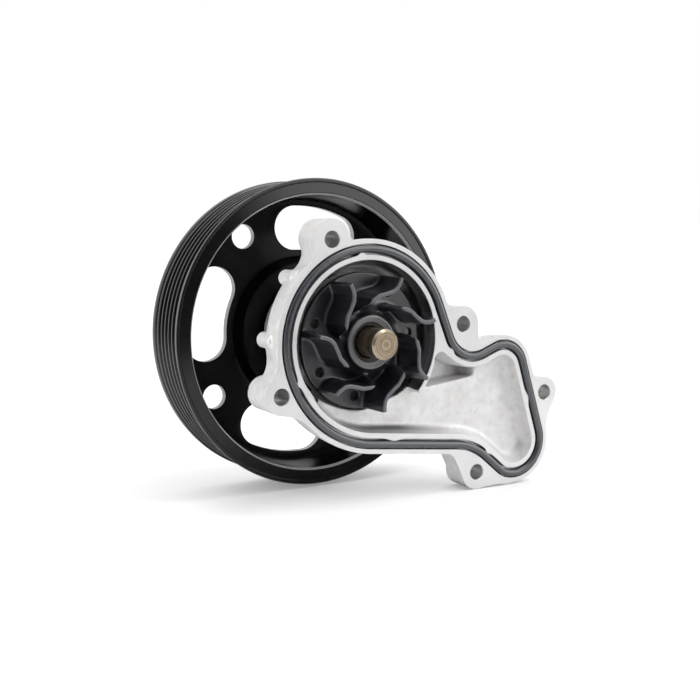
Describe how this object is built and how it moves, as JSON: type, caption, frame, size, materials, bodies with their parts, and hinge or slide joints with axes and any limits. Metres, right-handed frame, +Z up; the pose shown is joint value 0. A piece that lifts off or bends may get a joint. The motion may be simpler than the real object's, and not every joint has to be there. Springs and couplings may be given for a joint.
{
  "type": "engine coolant pump",
  "caption": "Engine coolant pump with a cast housing and rubber-sealed outlet chamber, an open curved-blade impeller and a grooved belt pulley with bean-shaped web openings.",
  "frame": {"origin": "centre of the flat nose face of the shaft, on the shaft axis, 12.88 mm in front of the mounting face", "axes": "+Y runs along the shaft axis from the nose towards the pulley, -Y is the way the mounting face looks, +Z is up as the pump stands in use, and +X runs towards the outlet chamber"},
  "size_m": [0.1624, 0.0799, 0.1308],
  "materials": {
    "cast_aluminium": "bead-blasted casting with machined faces",
    "gasket_rubber": "moulded satin",
    "impeller_coat": "satin blue-black coating",
    "shaft_steel": "turned, faint concentric marks",
    "pulley_coat": "glossy black coating",
    "hub_steel": "turned",
    "bearing_steel": "ground",
    "seal_rubber": "moulded matt",
    "cage_polymer": "moulded",
    "seal_case_brass": "pressed sheet",
    "spring_steel": "drawn wire",
    "carbon": "lapped",
    "ceramic": "lapped"
  },
  "bodies": {
    "housing": {"housing": "cast_aluminium", "gasket": "gasket_rubber", "bearing_outer_ring": "bearing_steel", "front_bearing_seal": "seal_rubber", "rear_bearing_seal": "seal_rubber", "seal_case": "seal_case_brass", "seal_bellows": "seal_rubber", "seal_spring": "spring_steel", "seal_carbon_ring": "carbon"},
    "rotor": {"shaft": "shaft_steel", "impeller": "impeller_coat", "pulley": "pulley_coat", "pulley_hub": "hub_steel", "seal_ceramic_ring": "ceramic", "seal_ring_boot": "seal_rubber"},
    "front_ball_row": {"front_ball_cage": "cage_polymer", "front_ball_1": "bearing_steel", "front_ball_2": "bearing_steel", "front_ball_3": "bearing_steel", "front_ball_4": "bearing_steel", "front_ball_5": "bearing_steel", "front_ball_6": "bearing_steel", "front_ball_7": "bearing_steel"},
    "rear_ball_row": {"rear_ball_cage": "cage_polymer", "rear_ball_1": "bearing_steel", "rear_ball_2": "bearing_steel", "rear_ball_3": "bearing_steel", "rear_ball_4": "bearing_steel", "rear_ball_5": "bearing_steel", "rear_ball_6": "bearing_steel", "rear_ball_7": "bearing_steel"}
  },
  "joints": [
    {"name": "rotor_spin", "type": "hinge", "parent": "housing", "child": "rotor", "pos_m": [0, 0, 0], "axis": [0, 1, 0], "continuous": true},
    {"name": "front_row_roll", "type": "hinge", "parent": "housing", "child": "front_ball_row", "pos_m": [0, 0.04368, 0], "axis": [0, 1, 0], "continuous": true},
    {"name": "rear_row_roll", "type": "hinge", "parent": "housing", "child": "rear_ball_row", "pos_m": [0, 0.05488, 0], "axis": [0, 1, 0], "continuous": true}
  ],
  "couplings": [
    {"joint": "front_row_roll", "follows": "rotor_spin", "ratio": 0.3738},
    {"joint": "rear_row_roll", "follows": "rotor_spin", "ratio": 0.3738}
  ]
}
